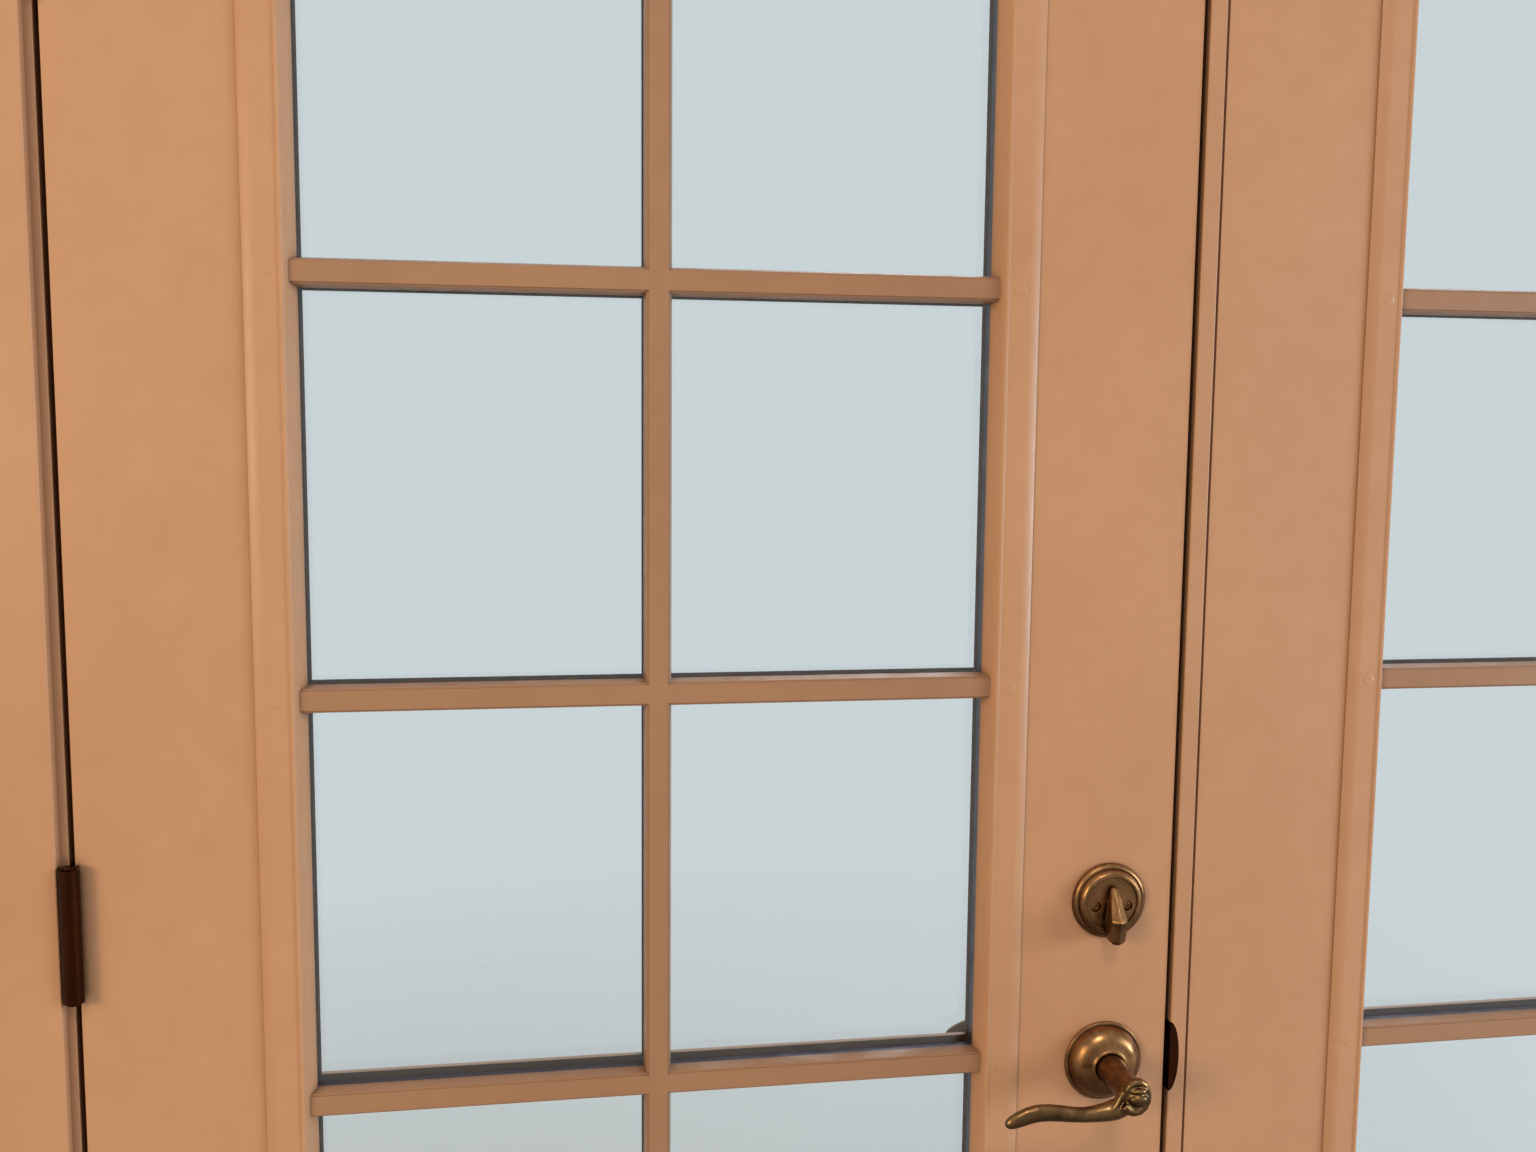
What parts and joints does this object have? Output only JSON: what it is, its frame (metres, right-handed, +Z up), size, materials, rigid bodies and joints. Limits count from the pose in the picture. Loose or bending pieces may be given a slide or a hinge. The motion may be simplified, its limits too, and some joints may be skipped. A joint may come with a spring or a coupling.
{
  "type": "pair of french doors in a frame",
  "caption": "Pair of inswing glazed doors with divided panes in a frame with sill and trim, an astragal, a lever lock and a deadbolt on the active leaf.",
  "frame": {"origin": "the sill's underside, in the middle of the doorway's width and of the jamb's depth", "axes": "+X to the right as seen from the room, +Y outdoors, +Z up; the active leaf is at -X"},
  "size_m": [1.947, 0.223, 2.176],
  "materials": {
    "door_paint": "satin paint",
    "timber": "planed softwood",
    "sill_wood": "varnished hardwood",
    "foam": "rigid foam",
    "glass": "clear float glass",
    "spacer": "mill",
    "seal": "soft matte",
    "sill_metal": "mill, ribbed",
    "hinge_metal": "dark bronze plated",
    "antique_brass": "aged, satin",
    "steel": "zinc plated"
  },
  "bodies": {
    "frame": {"left_jamb": "door_paint", "right_jamb": "door_paint", "head_jamb": "door_paint", "sill_substrate": "timber", "sill_deck": "sill_metal", "sill_cap": "sill_wood", "weatherstrips": "seal", "casing": "door_paint", "brickmould": "door_paint", "frame_hinge_plates": "hinge_metal", "hinge_pins": "hinge_metal", "frame_hinge_screws": "hinge_metal", "flush_bolt_keepers": "antique_brass"},
    "active_leaf": {"active_leaf_timber": "timber", "active_leaf_foam_core": "foam", "active_leaf_inner_skin": "door_paint", "active_leaf_outer_skin": "door_paint", "active_leaf_inner_glazing_frame": "door_paint", "active_leaf_outer_glazing_frame": "door_paint", "active_leaf_glass": "glass", "active_leaf_glass_spacer": "spacer", "active_leaf_glazing_screws": "steel", "active_leaf_screw_plugs": "door_paint", "active_leaf_sweep": "seal", "active_leaf_hinge_plates": "hinge_metal", "active_leaf_hinge_screws": "hinge_metal", "inner_rose": "antique_brass", "outer_rose": "antique_brass", "latch_case": "steel", "thumbturn_rose": "antique_brass", "rose_screws": "antique_brass", "deadbolt_case": "steel", "lock_faceplates": "antique_brass", "cylinder_collar": "antique_brass"},
    "passive_leaf": {"passive_leaf_timber": "timber", "passive_leaf_foam_core": "foam", "passive_leaf_inner_skin": "door_paint", "passive_leaf_outer_skin": "door_paint", "passive_leaf_inner_glazing_frame": "door_paint", "passive_leaf_outer_glazing_frame": "door_paint", "passive_leaf_glass": "glass", "passive_leaf_glass_spacer": "spacer", "passive_leaf_glazing_screws": "steel", "passive_leaf_screw_plugs": "door_paint", "passive_leaf_sweep": "seal", "passive_leaf_hinge_plates": "hinge_metal", "passive_leaf_hinge_screws": "hinge_metal", "astragal": "door_paint", "astragal_seal": "seal", "strikes": "antique_brass"},
    "lever_set": {"inner_lever": "antique_brass", "outer_lever": "antique_brass", "lever_spindle": "steel"},
    "latch_bolt": {"latch_bolt": "steel"},
    "thumbturn": {"thumbturn": "antique_brass"},
    "deadbolt": {"deadbolt": "steel"},
    "key_plug": {"key_plug": "antique_brass"},
    "top_flush_bolt": {"top_flush_bolt": "steel"},
    "bottom_flush_bolt": {"bottom_flush_bolt": "steel"}
  },
  "joints": [
    {"name": "active_leaf_swing", "type": "hinge", "parent": "frame", "child": "active_leaf", "pos_m": [-0.8765, -0.0658, 0], "axis": [0, 0, -1], "range_deg": [0, 170]},
    {"name": "passive_leaf_swing", "type": "hinge", "parent": "frame", "child": "passive_leaf", "pos_m": [0.8765, -0.0658, 0], "axis": [0, 0, 1], "range_deg": [0, 170]},
    {"name": "lever_turn", "type": "hinge", "parent": "active_leaf", "child": "lever_set", "pos_m": [-0.0655, -0.03575, 0.96], "axis": [0, -1, 0], "range_deg": [0, 45], "stiffness_Nm_per_rad": 1, "springref_deg": -28.65},
    {"name": "latch_slide", "type": "slide", "parent": "active_leaf", "child": "latch_bolt", "axis": [-1, 0, 0], "range_m": [0, 0.012]},
    {"name": "thumbturn_turn", "type": "hinge", "parent": "active_leaf", "child": "thumbturn", "pos_m": [-0.0655, -0.03575, 1.0997], "axis": [0, -1, 0], "range_deg": [0, 90]},
    {"name": "deadbolt_slide", "type": "slide", "parent": "active_leaf", "child": "deadbolt", "axis": [1, 0, 0], "range_m": [0, 0.0254]},
    {"name": "key_plug_turn", "type": "hinge", "parent": "active_leaf", "child": "key_plug", "pos_m": [-0.0655, -0.03575, 1.0997], "axis": [0, 1, 0], "range_deg": [-90, 90]},
    {"name": "top_flush_bolt_slide", "type": "slide", "parent": "passive_leaf", "child": "top_flush_bolt", "axis": [0, 0, 1], "range_m": [0, 0.016]},
    {"name": "bottom_flush_bolt_slide", "type": "slide", "parent": "passive_leaf", "child": "bottom_flush_bolt", "axis": [0, 0, -1], "range_m": [0, 0.016]}
  ],
  "couplings": [
    {"joint": "latch_slide", "follows": "lever_turn", "m_per_rad": 0.01527},
    {"joint": "thumbturn_turn", "follows": "deadbolt_slide", "rad_per_m": 61.84}
  ]
}
